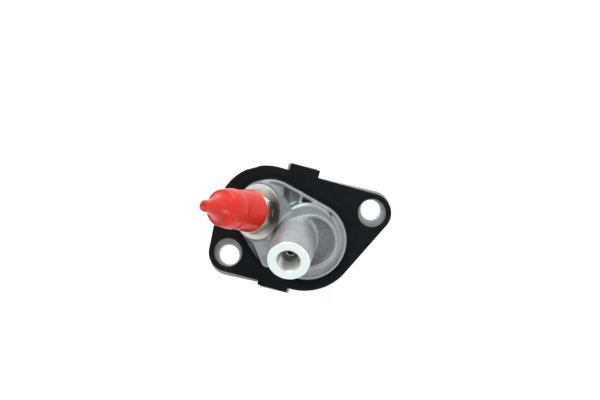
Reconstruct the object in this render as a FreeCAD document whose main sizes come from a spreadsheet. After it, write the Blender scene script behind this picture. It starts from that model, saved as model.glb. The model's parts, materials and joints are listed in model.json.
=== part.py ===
import FreeCAD, Part
import math
import os
import Sketcher

# Flanged hydraulic slave cylinder.
# Origin: midway between the two flange bolt holes, in the mounting plane (the flange's back face).
# +X runs along the bolt holes, +Z towards the pipe port and the bleeder, -Z along the barrel.

doc = FreeCAD.newDocument("slave_cylinder")

# ---------------------------------------------------------------- driving dimensions (mm, degrees)
DIMENSIONS = {
    # flange and cover plate outline: four circles joined by tangents
    "bolt_spacing": 66.0,
    "bolt_hole_rad": 4.5,
    "ear_rad": 8.5,
    "main_x": 1.6,
    "main_y": -2.4,
    "main_rad": 23.7,
    "lobe_x": -12.3,
    "lobe_y": 11.6,
    "lobe_rad": 21.8,
    "flange_thick": 7.0,
    # edge lugs, on both sides of the outline
    "lug_turn": 59.0,
    "lug_shift": -5.4,
    "lug_wide": 13.3,
    "lug_top": 28.7,
    "lug_bottom": 27.1,
    "lug_spare": 0.25,
    # black cover plate
    "plate_thick": 3.0,
    "plate_turn": -2.27,
    "plate_hole_rad": 6.25,
    "opening_main_x": 2.16,
    "opening_main_y": -4.02,
    "opening_main_rad": 18.0,
    "opening_lobe_x": -10.47,
    "opening_lobe_y": 11.79,
    "opening_lobe_rad": 15.7,
    "bulge_x": -8.45,
    "bulge_y": -3.84,
    "bulge_rad": 12.8,
    "step_wide": 1.6,
    "step_deep": 0.8,
    # rim wall of the casting, inside the plate's opening
    "rim_x": 2.0,
    "rim_y": -4.1,
    "rim_rad": 17.4,
    "rim_lobe_x": -10.0,
    "rim_lobe_y": 12.2,
    "rim_lobe_rad": 15.0,
    "rim_top": 11.0,
    "rim_wall": 1.6,
    "pocket_floor": 7.6,
    "ledge_start": 173.0,
    "ledge_turn": 194.0,
    # foot of the casting towards the left bolt hole
    "foot_root_rad": 12.0,
    "foot_mid_x": -12.0,
    "foot_mid_y": 3.0,
    "foot_mid_rad": 8.3,
    "foot_end_x": -17.4,
    "foot_end_y": -7.0,
    "foot_end_rad": 2.6,
    # tower: the closed end of the bore, on a mound whose back leans in
    "bore_x": 3.4,
    "bore_y": -4.4,
    "tower_top": 27.0,
    "tower_top_rad": 11.45,
    "tower_base_rad": 12.4,
    "mound_x": 3.2,
    "mound_y": -0.2,
    "mound_rad": 11.85,
    "mound_step": 0.7,
    "step_top": 12.5,
    "dish_deep": 1.6,
    "dish_rad": 10.4,
    "dish_floor_rad": 9.4,
    "shoulder_x": -5.5,
    "shoulder_y": 3.4,
    "shoulder_rad": 7.7,
    "shoulder_top_x": -3.0,
    "shoulder_top_y": -2.0,
    "shoulder_top_rad": 8.0,
    "shoulder_top": 26.0,
    # rib across the pocket
    "rib_x": 5.0,
    "rib_y": 14.2,
    "rib_azimuth": 72.0,
    "rib_long": 4.6,
    "rib_wide": 1.7,
    # bore, barrel and pilot
    "bore_rad": 9.525,
    "bore_end": 20.0,
    "barrel_long": 41.0,
    "barrel_rad": 13.8,
    "pilot_rad": 16.5,
    "pilot_long": 3.0,
    "boot_groove_rad": 12.6,
    "boot_groove_wide": 3.0,
    "boot_groove_lip": 2.5,
    "lip_rad": 13.2,
    # pipe port: face centre, direction and sizes along its own axis
    "port_x": -7.78,
    "port_y": -8.8,
    "port_z": 41.0,
    "port_azimuth": 238.8,
    "port_tilt": 28.3,
    "port_face_rad": 8.8,
    "port_root_rad": 11.5,
    "port_long": 22.0,
    "port_minor_rad": 4.45,
    "port_chamfer_rad": 5.2,
    "port_chamfer_deep": 0.75,
    "port_deep": 8.0,
    "seat_thick": 1.5,
    "seat_rad": 4.0,
    "passage_rad": 1.5,
    "passage_end": 27.0,
    # bleeder boss: spot face centre, direction and sizes along its own axis
    "bleed_x": -14.8,
    "bleed_y": 14.6,
    "bleed_z": 24.0,
    "bleed_azimuth": 154.7,
    "bleed_tilt": 34.0,
    "spot_rad": 11.5,
    "bleed_bore_rad": 6.0,
    "bleed_bore_deep": 13.0,
    "drill_rad": 1.25,
    # bleeder adaptor
    "hex_flats": 17.0,
    "hex_turn": 9.0,
    "hex_tall": 4.2,
    "neck_rad": 7.0,
    "neck_tall": 4.4,
    "shank_rad": 5.96,
    "shank_long": 12.0,
    "screw_rad": 4.0,
    "screw_gap": 0.05,
    "screw_down": 7.0,
    "seat_hole_rad": 1.2,
    # bleed screw
    "screw_hex": 9.0,
    "screw_hex_low": 9.4,
    "screw_hex_tall": 4.6,
    "nipple_rad": 2.9,
    "nipple_top": 21.5,
    "barb_rad": 3.4,
    "barb_tall": 3.2,
    "nipple_bore_rad": 0.9,
    "ring_low": 5.4,
    "ring_tall": 1.9,
    "ring_groove_rad": 2.9,
    # rubber cap
    "cap_low": 4.3,
    "cap_base_rad": 9.1,
    "cap_base_top": 15.4,
    "cap_crease_rad": 7.95,
    "cap_mid_rad": 8.5,
    "cap_mid_top": 23.6,
    "cap_end_rad": 7.6,
    "cap_end_top": 25.1,
    "cap_cone_rad": 5.7,
    "cap_tip_rad": 2.3,
    "cap_tip_top": 36.0,
    "cap_grip_rad": 7.02,
    "cap_room_rad": 7.0,
    "cap_room_top": 19.6,
    "cap_nose_rad": 4.8,
    "cap_nose_top": 24.4,
    # piston and what rides on it
    "run_gap": 0.025,
    "piston_low": -37.0,
    "piston_long": 24.0,
    "nose_rad": 4.0,
    "nose_long": 4.0,
    "cup_low": -19.5,
    "cup_long": 5.0,
    "cup_core_rad": 6.4,
    "guide_low": -26.5,
    "guide_long": 4.5,
    "guide_core_rad": 8.2,
    "rear_low": -33.5,
    "rear_long": 3.0,
    "rear_core_rad": 7.6,
    "fit_gap": 0.03,
    "ball_rad": 4.5,
    "ball_z": -30.0,
    "socket_rad": 5.3,
    "retainer_rad": 3.75,
    "retainer_top": -33.2,
    "retainer_low": -36.4,
    "seat_flange_rad": 8.4,
    "seat_flange_thick": 1.5,
    # spring
    "spring_rad": 6.8,
    "spring_wire_rad": 0.6,
    # pushrod
    "rod_neck_rad": 2.7,
    "rod_rad": 4.0,
    "rod_taper_top": -36.0,
    "rod_taper_low": -39.5,
    "rod_low": -79.0,
    "rod_groove_rad": 3.3,
    "rod_groove_top": -68.0,
    "rod_groove_low": -71.0,
    "tip_rad": 4.9,
    "tip_low": -83.0,
    "tip_grip": 6.0,
    # stop washer and circlip
    "washer_thick": 1.2,
    "washer_hole_rad": 7.3,
    "clip_thick": 1.2,
    "clip_out_rad": 10.4,
    "clip_in_rad": 8.5,
    "clip_gap": 7.0,
    # boot
    "boot_wall": 1.0,
    "boot_cuff_rad": 14.2,
    "boot_ring_rad": 5.6,
    "boot_folds": 5.0,
    "boot_crest_rad": 12.6,
    "boot_small_crest_rad": 8.2,
    "clamp_rad": 15.0,
    "clamp_wide": 1.6,
}

sheet = doc.addObject("Spreadsheet::Sheet", "size")
for row, (alias, number) in enumerate(DIMENSIONS.items(), start=1):
    sheet.set("A%d" % row, alias)
    sheet.set("B%d" % row, str(number))
    sheet.setAlias("B%d" % row, alias)
doc.recompute()


def value(alias):
    return float(sheet.get(alias))


# ---------------------------------------------------------------- helpers
def bind(obj, **properties):
    """Ties properties of an object to expressions in the sheet."""
    for name, expression in properties.items():
        obj.setExpression(name, str(expression))


def move(obj, x="0", y="0", z="0"):
    bind(obj, **{"Placement.Base.x": x, "Placement.Base.y": y, "Placement.Base.z": z})
    return obj


def cylinder(name, radius, height, x="0", y="0", z="0"):
    solid = doc.addObject("Part::Cylinder", name)
    bind(solid, Radius=radius, Height=height)
    return move(solid, x, y, z)


def cone(name, low_radius, high_radius, height, x="0", y="0", z="0"):
    solid = doc.addObject("Part::Cone", name)
    bind(solid, Radius1=low_radius, Radius2=high_radius, Height=height)
    return move(solid, x, y, z)


def tube(name, outer, inner, height, z="0"):
    """A plain ring round the Z axis."""
    body = cylinder(name + "_outer", outer, height, z=z)
    hole = cylinder(name + "_hole", inner, height, z=z)
    return cut(name, body, hole)


def prism(name, flats, height, z="0", turn="0"):
    """A hexagonal prism with the given width across flats, turned about its own axis."""
    solid = doc.addObject("Part::Prism", name)
    solid.Polygon = 6
    bind(solid, Circumradius="(%s) / sqrt(3)" % flats, Height=height)
    bind(solid, Placement="placement(vector(0; 0; %s); rotation(vector(0; 0; 1); %s))" % (z, turn))
    return solid


def fuse(name, *solids):
    union = doc.addObject("Part::MultiFuse", name)
    union.Shapes = list(solids)
    return union


def cut(name, base, *tools):
    """The base less each tool in turn."""
    result = base
    for step, tool in enumerate(tools, start=1):
        last = step == len(tools)
        less = doc.addObject("Part::Cut", name if last else "%s_less_%d" % (name, step))
        less.Base = result
        less.Tool = tool
        result = less
    return result


def stand_on(obj, boss, along="0"):
    """Places a piece made round +Z on the axis of a boss, with its origin at the boss's face or along from it."""
    x = "size.{0}_x + ({1}) * sin(size.{0}_tilt) * cos(size.{0}_azimuth)"
    y = "size.{0}_y + ({1}) * sin(size.{0}_tilt) * sin(size.{0}_azimuth)"
    z = "size.{0}_z + ({1}) * cos(size.{0}_tilt)"
    turn = "rotation(vector(-sin(size.{0}_azimuth); cos(size.{0}_azimuth); 0); size.{0}_tilt)"
    place = "placement(vector(%s; %s; %s); %s)" % (x, y, z, turn)
    bind(obj, Placement=place.format(boss, along))
    return obj


def on_bore(obj):
    """Places a piece made round the Z axis on the bore's axis."""
    return move(obj, "size.bore_x", "size.bore_y")


def named(obj, label):
    obj.Label = label
    parts.append(obj)
    return obj


def tangent_pad(name, circles, thick, low="0"):
    """Pads the outline of circles joined by outer tangents; circles run counter-clockwise.

    Each circle is (x, y, radius) as expressions with their present numbers: ((text, number), ...).
    """
    body = doc.addObject("PartDesign::Body", name)
    sketch = body.newObject("Sketcher::SketchObject", name + "_sketch")
    plane = [o for o in body.Origin.OriginFeatures if o.Role == "XY_Plane"][0]
    sketch.AttachmentSupport = [(plane, "")]
    sketch.MapMode = "FlatFace"
    centres = [FreeCAD.Vector(x[1], y[1], 0) for x, y, _ in circles]
    radii = [radius[1] for _, _, radius in circles]
    normals = []
    for i, centre in enumerate(centres):
        after = (i + 1) % len(centres)
        along = centres[after] - centre
        lean = math.asin((radii[i] - radii[after]) / along.Length)
        normals.append(math.atan2(along.y, along.x) - math.pi / 2 + lean)
    up = FreeCAD.Vector(0, 0, 1)
    for i, centre in enumerate(centres):
        circle = Part.Circle(centre, up, radii[i])
        sketch.addGeometry(Part.ArcOfCircle(circle, normals[i - 1], normals[i]))
    for i, centre in enumerate(centres):
        after = (i + 1) % len(centres)
        out = FreeCAD.Vector(math.cos(normals[i]), math.sin(normals[i]), 0)
        sketch.addGeometry(Part.LineSegment(centre + out * radii[i], centres[after] + out * radii[after]))
    count = len(circles)
    for i, (x, y, radius) in enumerate(circles):
        after = (i + 1) % count
        where = sketch.addConstraint(Sketcher.Constraint("DistanceX", i, 3, x[1]))
        sketch.setExpression("Constraints[%d]" % where, x[0])
        where = sketch.addConstraint(Sketcher.Constraint("DistanceY", i, 3, y[1]))
        sketch.setExpression("Constraints[%d]" % where, y[0])
        where = sketch.addConstraint(Sketcher.Constraint("Radius", i, radius[1]))
        sketch.setExpression("Constraints[%d]" % where, radius[0])
        sketch.addConstraint(Sketcher.Constraint("Tangent", i, 2, count + i, 1))
        sketch.addConstraint(Sketcher.Constraint("Tangent", count + i, 2, after, 1))
    pad = body.newObject("PartDesign::Pad", name + "_pad")
    pad.Profile = sketch
    bind(pad, Length=thick)
    body.Tip = pad
    return move(body, z=low)


def at(alias, plus=0.0, sign=1.0):
    """An expression for a cell's value and that value now, with an allowance added."""
    return ("%g * size.%s + %g" % (sign, alias, plus), sign * value(alias) + plus)


def half_spacing(sign):
    return ("%g * size.bolt_spacing / 2" % sign, sign * value("bolt_spacing") / 2)


ZERO = ("0", 0.0)


def flange_circles():
    """The outline that the metal flange and the plate share."""
    right_ear = (half_spacing(1), ZERO, at("ear_rad"))
    left_ear = (half_spacing(-1), ZERO, at("ear_rad"))
    main = (at("main_x"), at("main_y"), at("main_rad"))
    lobe = (at("lobe_x"), at("lobe_y"), at("lobe_rad"))
    return [right_ear, lobe, left_ear, main]


def opening_circles(grow):
    """The plate's opening, grown all round by an allowance."""
    main = (at("opening_main_x"), at("opening_main_y"), at("opening_main_rad", grow))
    lobe = (at("opening_lobe_x"), at("opening_lobe_y"), at("opening_lobe_rad", grow))
    bulge = (at("bulge_x"), at("bulge_y"), at("bulge_rad", grow))
    return [main, lobe, bulge]


def rim_circles(inset):
    """The casting's rim, set in by an allowance."""
    main = (at("rim_x"), at("rim_y"), at("rim_rad", -inset))
    lobe = (at("rim_lobe_x"), at("rim_lobe_y"), at("rim_lobe_rad", -inset))
    return [main, lobe]


def foot_circles():
    """The casting's foot beside the left bolt hole."""
    main = (ZERO, at("rim_y", -1.0), at("foot_root_rad"))
    middle = (at("foot_mid_x"), at("foot_mid_y"), at("foot_mid_rad"))
    end = (at("foot_end_x"), at("foot_end_y"), at("foot_end_rad"))
    return [main, middle, end]


def mound_circles(grow):
    """The base of the tower and of the shoulder beside it, grown all round by an allowance."""
    front = (at("bore_x"), at("bore_y"), at("tower_base_rad", grow))
    back = (at("mound_x"), at("mound_y"), at("mound_rad", grow))
    side = (at("shoulder_x"), at("shoulder_y"), at("shoulder_rad", grow))
    return [front, back, side]


def ring(name, centre, height, radius=None):
    """A level circle about a centre named in the sheet."""
    circle = doc.addObject("Part::Circle", name)
    bind(circle, Radius=radius or "size.%s_rad" % centre)
    return move(circle, "size.%s_x" % centre, "size.%s_y" % centre, height)


def leaning_cone(name, low, high):
    loft = doc.addObject("Part::Loft", name)
    loft.Sections = [low, high]
    loft.Solid = True
    loft.Ruled = True
    return loft


def lug_bar(name, spare, thick, low):
    """One bar across the outline; its two ends are the lugs. Made along +Y, then turned."""
    bar = doc.addObject("Part::Box", name)
    wide = "(size.lug_wide + 2 * (%s))" % spare
    long = "(size.lug_top + size.lug_bottom + 2 * (%s))" % spare
    bind(bar, Length=wide, Width=long, Height=thick)
    corner_x = "(size.lug_shift - %s / 2)" % wide
    corner_y = "(-size.lug_bottom - (%s))" % spare
    turn = "(size.lug_turn - 90)"
    x = "%s * cos(%s) - %s * sin(%s)" % (corner_x, turn, corner_y, turn)
    y = "%s * sin(%s) + %s * cos(%s)" % (corner_x, turn, corner_y, turn)
    place = "placement(vector(%s; %s; %s); rotation(vector(0; 0; 1); %s))" % (x, y, low, turn)
    bind(bar, Placement=place)
    return bar


def hole_pair(name, radius, height, low):
    right = cylinder(name + "_right", radius, height, x="size.bolt_spacing / 2", z=low)
    left = cylinder(name + "_left", radius, height, x="-size.bolt_spacing / 2", z=low)
    return [right, left]


parts = []


# ---------------------------------------------------------------- housing
def make_housing():
    outline = tangent_pad("flange_outline", flange_circles(), "size.flange_thick")
    lugs = lug_bar("flange_lugs", "size.lug_spare", "size.flange_thick", "0")
    rim = tangent_pad("rim_block", rim_circles(0.0), "size.rim_top - 1", "1")
    pocket_deep = "size.rim_top - size.pocket_floor + 1"
    pocket = tangent_pad("pocket_block", rim_circles(value("rim_wall")), pocket_deep, "size.pocket_floor")
    hollow_rim = cut("rim_wall_ring", rim, pocket)
    ledge = cylinder("lower_ledge", "size.rim_rad", "size.rim_top - 1")
    bind(ledge, Angle="size.ledge_turn")
    bind(ledge, Placement="placement(vector(size.rim_x; size.rim_y; 1); rotation(vector(0; 0; 1); size.ledge_start))")

    foot = tangent_pad("left_foot", foot_circles(), "size.rim_top - 1", "1")
    mound = tangent_pad("mound_step", mound_circles(value("mound_step")), "size.step_top - 1", "1")
    tower_tall = "size.tower_top - size.rim_top"
    tower = on_bore(cone("tower", "size.tower_base_rad", "size.tower_top_rad", tower_tall))
    bind(tower, **{"Placement.Base.z": "size.rim_top"})
    back = leaning_cone("mound_back", ring("mound_low", "mound", "size.step_top - 1"),
                        ring("mound_high", "bore", "size.tower_top - 0.4", "size.tower_top_rad - 0.5"))
    shoulder = leaning_cone("shoulder", ring("shoulder_low", "shoulder", "size.step_top - 1"),
                            ring("shoulder_high", "shoulder_top", "size.shoulder_top"))
    dish = on_bore(cone("dish", "size.dish_floor_rad", "size.dish_rad", "size.dish_deep"))
    bind(dish, **{"Placement.Base.z": "size.tower_top - size.dish_deep"})
    closed_end = cut("closed_end", fuse("closed_end_blank", tower, back, shoulder), dish)

    rib = doc.addObject("Part::Box", "pocket_rib")
    bind(rib, Length="size.rib_long", Width="size.rib_wide", Height="size.rim_top - 1.4")
    turn = "size.rib_azimuth"
    x = "size.rib_x - cos({0}) * size.rib_long / 2 + sin({0}) * size.rib_wide / 2".format(turn)
    y = "size.rib_y - sin({0}) * size.rib_long / 2 - cos({0}) * size.rib_wide / 2".format(turn)
    bind(rib, Placement="placement(vector(%s; %s; 1); rotation(vector(0; 0; 1); %s))" % (x, y, turn))

    port_boss = cone("port_boss", "size.port_root_rad", "size.port_face_rad", "size.port_long", z="-size.port_long")
    stand_on(port_boss, "port", "-size.port_long")

    # the bleeder's boss is a column straight up from the flange, cut off square to the bleeder's own axis
    oval = doc.addObject("Part::Ellipse", "bleed_oval")
    bind(oval, MajorRadius="size.spot_rad", MinorRadius="size.spot_rad * cos(size.bleed_tilt)")
    bind(oval, Placement="placement(vector(size.bleed_x; size.bleed_y; 1);"
                         " rotation(vector(0; 0; 1); size.bleed_azimuth - 90))")
    column = doc.addObject("Part::Extrusion", "bleed_column")
    column.Base = oval
    column.DirMode = "Custom"
    column.Dir = FreeCAD.Vector(0, 0, 1)
    column.Solid = True
    bind(column, LengthFwd="size.bleed_z + size.spot_rad")
    above = cylinder("above_spot_face", "3 * size.spot_rad", "3 * size.spot_rad")
    stand_on(above, "bleed")
    bleed_boss = cut("bleed_boss", column, above)

    block = fuse("housing_block", outline, lugs, hollow_rim, ledge, foot, mound, closed_end, rib, port_boss, bleed_boss)

    bore = on_bore(cylinder("bore", "size.bore_rad", "size.bore_end + 1"))
    bind(bore, **{"Placement.Base.z": "-1"})
    minor_long = "size.port_deep + 1"
    port_tools = stand_on(fuse(
        "port_holes",
        cylinder("port_minor", "size.port_minor_rad", minor_long, z="-size.port_deep"),
        cone("port_chamfer", "size.port_minor_rad", "size.port_chamfer_rad", "size.port_chamfer_deep",
             z="-size.port_chamfer_deep"),
        cylinder("port_mouth", "size.port_chamfer_rad", "1"),
        cylinder("port_seat_pocket", "size.seat_rad", "size.seat_thick + 1", z="-size.port_deep - size.seat_thick"),
        cylinder("port_passage", "size.passage_rad", "size.passage_end", z="-size.passage_end"),
    ), "port")
    bleed_bore = cylinder("bleed_bore", "size.bleed_bore_rad", "size.bleed_bore_deep + 1")
    stand_on(bleed_bore, "bleed", "-size.bleed_bore_deep")

    # a small level drilling joins the bottom of the bleeder's bore to the closed end of the cylinder
    reach = "(size.bleed_bore_deep - 0.5)"
    run_x = "(size.bleed_x - %s * sin(size.bleed_tilt) * cos(size.bleed_azimuth) - size.bore_x)" % reach
    run_y = "(size.bleed_y - %s * sin(size.bleed_tilt) * sin(size.bleed_azimuth) - size.bore_y)" % reach
    level = "(size.bleed_z - %s * cos(size.bleed_tilt))" % reach
    drill = cylinder("cross_drilling", "size.drill_rad", "hypot(%s; %s)" % (run_x, run_y))
    across = "atan2(%s; %s)" % (run_y, run_x)
    bind(drill, Placement="placement(vector(size.bore_x; size.bore_y; %s);"
                          " rotation(vector(-sin(%s); cos(%s); 0); 90))" % (level, across, across))

    holes = hole_pair("bolt_hole", "size.bolt_hole_rad", "size.flange_thick + 4", "-2")
    return named(cut("housing", block, bore, port_tools, bleed_bore, drill, *holes), "cylinder_housing")


# ---------------------------------------------------------------- barrel below the flange, with the pilot
def make_barrel():
    barrel = cylinder("barrel_blank", "size.barrel_rad", "size.barrel_long", z="-size.barrel_long")
    pilot = cylinder("pilot", "size.pilot_rad", "size.pilot_long", z="-size.pilot_long")
    bore = cylinder("barrel_bore", "size.bore_rad", "size.barrel_long + 2", z="-size.barrel_long - 1")
    clip_low = "size.piston_low - size.washer_thick - size.clip_thick"
    clip_groove = cylinder("clip_groove", "size.clip_out_rad + 0.05", "size.clip_thick", z=clip_low)
    boot_groove = tube("boot_groove", "size.barrel_rad + 1", "size.boot_groove_rad", "size.boot_groove_wide",
                       z="-size.barrel_long + size.boot_groove_lip")
    lip_turning = tube("lip_turning", "size.barrel_rad + 1", "size.lip_rad", "size.boot_groove_lip + 0.5",
                       z="-size.barrel_long - 0.5")
    blank = fuse("barrel_and_pilot", barrel, pilot)
    return named(on_bore(cut("barrel", blank, bore, clip_groove, boot_groove, lip_turning)), "cylinder_barrel")


# ---------------------------------------------------------------- black cover plate
def make_plate():
    outline = tangent_pad("plate_outline", flange_circles(), "size.plate_thick")
    lugs = lug_bar("plate_lugs", "0", "size.plate_thick", "0")
    opening = tangent_pad("plate_opening", opening_circles(0.0), "size.plate_thick + 2", "-1")
    step_low = "size.plate_thick - size.step_deep"
    step = tangent_pad("opening_step", opening_circles(value("step_wide")), "size.step_deep + 1", step_low)
    holes = hole_pair("plate_hole", "size.plate_hole_rad", "size.plate_thick + 2", "-1")
    plate = cut("plate", fuse("plate_blank", outline, lugs), opening, step, *holes)
    bind(plate, Placement="placement(vector(0; 0; size.flange_thick); rotation(vector(0; 0; 1); size.plate_turn))")
    return named(plate, "flange_plate")


# ---------------------------------------------------------------- port seat
def make_port_seat():
    low = "-size.port_deep - size.seat_thick"
    ring = cylinder("seat_blank", "size.seat_rad - size.fit_gap", "size.seat_thick", z=low)
    dish = cone("seat_dish", "size.passage_rad", "2.6", "0.9", z="-size.port_deep - 0.9")
    hole = cylinder("seat_hole", "size.passage_rad", "size.seat_thick + 1", z=low + " - 0.5")
    seat = stand_on(cut("seat", ring, dish, hole), "port")
    return named(seat, "port_seat")


# ---------------------------------------------------------------- bleeder
def make_adaptor():
    hexagon = prism("adaptor_hex", "size.hex_flats", "size.hex_tall", turn="size.hex_turn")
    neck = cylinder("adaptor_neck", "size.neck_rad", "size.neck_tall", z="size.hex_tall")
    shank = cylinder("adaptor_shank", "size.shank_rad", "size.shank_long", z="-size.shank_long")
    thread_bore = cylinder("adaptor_bore", "size.screw_rad + size.screw_gap", "30", z="-size.screw_down")
    drip = cylinder("adaptor_drip", "size.seat_hole_rad", "20", z="-15")
    seat_z = "-size.screw_down - size.screw_rad + size.seat_hole_rad"
    seat = cone("adaptor_seat", "size.seat_hole_rad", "size.screw_rad", "size.screw_rad - size.seat_hole_rad", z=seat_z)
    adaptor = cut("adaptor", fuse("adaptor_blank", hexagon, neck, shank), thread_bore, drip, seat)
    return named(stand_on(adaptor, "bleed"), "bleeder_adaptor")


def make_bleed_screw():
    point = "(size.screw_rad - 0.8)"
    shank_low = "-size.screw_down + 0.03"
    cone_tip = cone("screw_point", "0.8", "size.screw_rad", point, z=shank_low + " - " + point)
    shank = cylinder("screw_shank", "size.screw_rad", "size.screw_hex_low - (%s)" % shank_low, z=shank_low)
    head = prism("screw_head", "size.screw_hex", "size.screw_hex_tall", z="size.screw_hex_low")
    stem = cylinder("screw_stem", "size.nipple_rad", "size.nipple_top - size.screw_hex_low", z="size.screw_hex_low")
    barb_low = "size.nipple_top - size.barb_tall - 0.8"
    barb = cone("screw_barb", "size.barb_rad", "size.nipple_rad - 0.3", "size.barb_tall + 0.8", z=barb_low)
    groove = tube("screw_groove", "size.screw_rad + 1", "size.ring_groove_rad", "size.ring_tall", z="size.ring_low")
    drilling = cylinder("screw_drilling", "size.nipple_bore_rad", "size.nipple_top - size.ring_low + 9",
                        z="size.ring_low - 8")
    blank = fuse("screw_blank", cone_tip, shank, head, stem, barb)
    screw = stand_on(cut("screw", blank, groove, drilling), "bleed")
    return named(screw, "bleed_screw")


def make_screw_ring():
    wide = "size.ring_tall - 0.2"
    ring = tube("screw_ring", "size.screw_rad + 0.01", "size.ring_groove_rad + size.fit_gap", wide,
                z="size.ring_low + 0.1")
    return named(stand_on(ring, "bleed"), "bleed_screw_oring")


def make_cap():
    base = cone("cap_base", "size.cap_base_rad", "size.cap_crease_rad", "size.cap_base_top - size.cap_low",
                z="size.cap_low")
    middle = cylinder("cap_middle", "size.cap_mid_rad", "size.cap_mid_top - size.cap_base_top", z="size.cap_base_top")
    disc = cylinder("cap_disc", "size.cap_end_rad", "size.cap_end_top - size.cap_mid_top", z="size.cap_mid_top")
    cone_tall = "(size.cap_tip_top - size.cap_end_top)"
    nose = cone("cap_nose", "size.cap_cone_rad", "size.cap_tip_rad + 0.5", cone_tall + " * 0.6", z="size.cap_end_top")
    tip = cylinder("cap_tip", "size.cap_tip_rad", cone_tall, z="size.cap_end_top")
    grip = cylinder("cap_grip", "size.cap_grip_rad", "size.hex_tall + size.neck_tall + 2.6 - size.cap_low",
                    z="size.cap_low")
    room = cylinder("cap_room", "size.cap_room_rad", "size.cap_room_top - size.cap_low", z="size.cap_low")
    nose_room = cylinder("cap_nose_room", "size.cap_nose_rad", "size.cap_nose_top - size.cap_low", z="size.cap_low")
    outer = fuse("cap_outer", base, middle, disc, nose, tip)
    cap = cut("cap", outer, grip, room, nose_room)
    return named(stand_on(cap, "bleed"), "bleeder_cap")


# ---------------------------------------------------------------- piston group
def make_piston():
    body = cylinder("piston_body", "size.bore_rad - size.run_gap", "size.piston_long", z="size.piston_low")
    front = "(size.piston_low + size.piston_long)"
    nose = cylinder("piston_nose", "size.nose_rad", "size.nose_long", z=front)
    cup_groove = tube("cup_groove", "size.bore_rad + 1", "size.cup_core_rad", "size.cup_long", z="size.cup_low")
    guide_groove = tube("guide_groove", "size.bore_rad + 1", "size.guide_core_rad", "size.guide_long",
                        z="size.guide_low")
    rear_groove = tube("rear_groove", "size.bore_rad + 1", "size.rear_core_rad", "size.rear_long", z="size.rear_low")
    socket = cylinder("socket", "size.socket_rad", "size.ball_z - size.piston_low", z="size.piston_low")
    dome = doc.addObject("Part::Sphere", "socket_dome")
    bind(dome, Radius="size.ball_rad + 0.05")
    move(dome, z="size.ball_z")
    piston = cut("piston_turned", fuse("piston_blank", body, nose), cup_groove, guide_groove, rear_groove, socket, dome)
    return named(on_bore(piston), "piston")


def piston_ring(name, label, core, low, long):
    """A ring that fills a groove of the piston, with a little room at its ends."""
    height = "%s - 0.2" % long
    ring = tube(name, "size.bore_rad - size.run_gap", core + " + size.fit_gap", height, z="%s + 0.1" % low)
    return named(on_bore(ring), label)


def make_spring_seat():
    low = "size.piston_low + size.piston_long"
    flange = cylinder("seat_flange", "size.seat_flange_rad", "size.seat_flange_thick", z=low)
    collar = cylinder("seat_collar", "size.nose_rad + 1.4", "size.nose_long - 0.4", z=low)
    hole = cylinder("seat_nose_hole", "size.nose_rad + size.fit_gap", "size.nose_long + 2", z=low + " - 1")
    return named(on_bore(cut("spring_cup", fuse("spring_cup_blank", flange, collar), hole)), "spring_seat")


def make_spring():
    """The spring's outline as a sleeve one wire thick, from the spring seat to the closed end of the bore."""
    low = "(size.piston_low + size.piston_long + size.seat_flange_thick)"
    wire = "size.spring_wire_rad"
    sleeve = tube("spring_sleeve", "size.spring_rad + " + wire, "size.spring_rad - " + wire,
                  "size.bore_end - " + low, z=low)
    return named(on_bore(sleeve), "preload_spring")


def make_retainer():
    height = "size.retainer_top - size.retainer_low"
    ring = tube("retainer", "size.socket_rad - size.fit_gap", "size.retainer_rad", height, z="size.retainer_low")
    return named(on_bore(ring), "rod_retainer")


# ---------------------------------------------------------------- pushrod
def make_pushrod():
    ball = doc.addObject("Part::Sphere", "rod_ball")
    bind(ball, Radius="size.ball_rad")
    move(ball, z="size.ball_z")
    neck = cylinder("rod_neck", "size.rod_neck_rad", "size.ball_z - size.rod_taper_top", z="size.rod_taper_top")
    taper = cone("rod_taper", "size.rod_rad", "size.rod_neck_rad", "size.rod_taper_top - size.rod_taper_low",
                 z="size.rod_taper_low")
    shaft = cylinder("rod_shaft", "size.rod_rad", "size.rod_taper_low - size.rod_low", z="size.rod_low")
    groove = tube("rod_groove", "size.rod_rad + 1", "size.rod_groove_rad", "size.rod_groove_top - size.rod_groove_low",
                  z="size.rod_groove_low")
    spigot = tube("rod_spigot_cut", "size.rod_rad + 1", "size.rod_rad - 1", "size.tip_grip - 2", z="size.rod_low")
    rod = cut("rod", fuse("rod_blank", ball, neck, taper, shaft), groove, spigot)
    return named(on_bore(rod), "pushrod")


def make_rod_tip():
    grip_tall = "size.tip_grip - 2"
    skirt = cylinder("tip_skirt", "size.tip_rad", grip_tall + " + size.rod_low - size.tip_low - size.tip_rad * 0.5",
                     z="size.tip_low + size.tip_rad * 0.5")
    nose = cone("tip_nose", "size.tip_rad * 0.55", "size.tip_rad", "size.tip_rad * 0.5", z="size.tip_low")
    socket = cylinder("tip_socket", "size.rod_rad - 1 + size.fit_gap", "20", z="size.rod_low - size.fit_gap")
    return named(on_bore(cut("tip", fuse("tip_blank", skirt, nose), socket)), "pushrod_tip")


# ---------------------------------------------------------------- stop washer, circlip, boot and its clamp
def make_washer():
    low = "size.piston_low - size.washer_thick"
    washer = tube("washer", "size.bore_rad - size.run_gap", "size.washer_hole_rad", "size.washer_thick", z=low)
    return named(on_bore(washer), "stop_washer")


def make_circlip():
    low = "size.piston_low - size.washer_thick - size.clip_thick"
    ring = tube("clip_ring", "size.clip_out_rad", "size.clip_in_rad", "size.clip_thick", z=low)
    gap = doc.addObject("Part::Box", "clip_gap_block")
    bind(gap, Length="size.clip_out_rad + 2", Width="size.clip_gap", Height="size.clip_thick + 2")
    move(gap, x="0", y="-size.clip_gap / 2", z=low + " - 1")
    return named(on_bore(cut("clip", ring, gap)), "circlip")


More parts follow.
